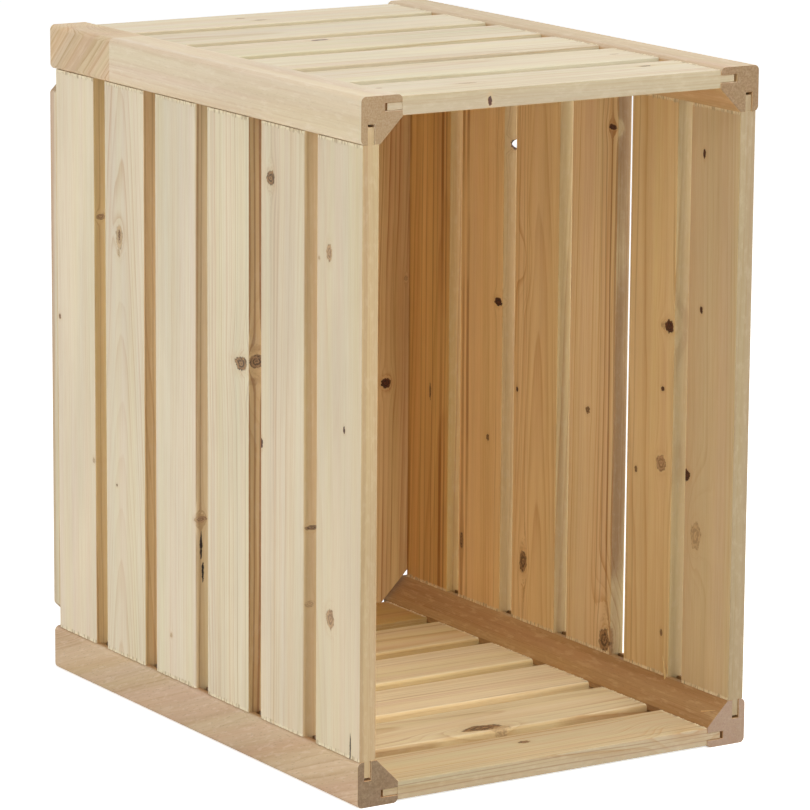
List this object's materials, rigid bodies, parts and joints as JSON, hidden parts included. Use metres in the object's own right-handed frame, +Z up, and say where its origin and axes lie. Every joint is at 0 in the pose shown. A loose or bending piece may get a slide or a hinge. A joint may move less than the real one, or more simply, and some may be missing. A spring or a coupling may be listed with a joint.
{
  "type": "slatted wooden crate",
  "caption": "Open slatted wooden storage crate with double-grooved corner rails, tongued wall slats and a boarded floor, standing on its short end.",
  "frame": {"origin": "centre of the footprint at the ground, as the crate stands on its short end", "axes": "+Z up along the long side of the crate, mouth towards -Y, floor boards towards +Y, +X to the right when looking into the mouth"},
  "size_m": [0.3, 0.404, 0.45],
  "materials": {
    "rail_beech": "planed, unfinished",
    "slat_spruce": "planed, unfinished",
    "floor_spruce": "planed, unfinished",
    "nail_steel": "bright wire"
  },
  "bodies": {
    "root": {"rail_top_left": "rail_beech", "rail_top_right": "rail_beech", "rail_bottom_left": "rail_beech", "rail_bottom_right": "rail_beech", "left_slat_1": "slat_spruce", "left_slat_2": "slat_spruce", "left_slat_3": "slat_spruce", "left_slat_4": "slat_spruce", "left_slat_5": "slat_spruce", "left_slat_6": "slat_spruce", "right_slat_1": "slat_spruce", "right_slat_2": "slat_spruce", "right_slat_3": "slat_spruce", "right_slat_4": "slat_spruce", "right_slat_5": "slat_spruce", "right_slat_6": "slat_spruce", "top_slat_1": "slat_spruce", "top_slat_2": "slat_spruce", "top_slat_3": "slat_spruce", "top_slat_4": "slat_spruce", "top_slat_5": "slat_spruce", "top_slat_6": "slat_spruce", "bottom_slat_1": "slat_spruce", "bottom_slat_2": "slat_spruce", "bottom_slat_3": "slat_spruce", "bottom_slat_4": "slat_spruce", "bottom_slat_5": "slat_spruce", "bottom_slat_6": "slat_spruce", "floor_board_1": "floor_spruce", "floor_board_2": "floor_spruce", "floor_board_3": "floor_spruce", "floor_board_4": "floor_spruce", "floor_board_5": "floor_spruce", "floor_nails": "nail_steel"}
  },
  "joints": []
}
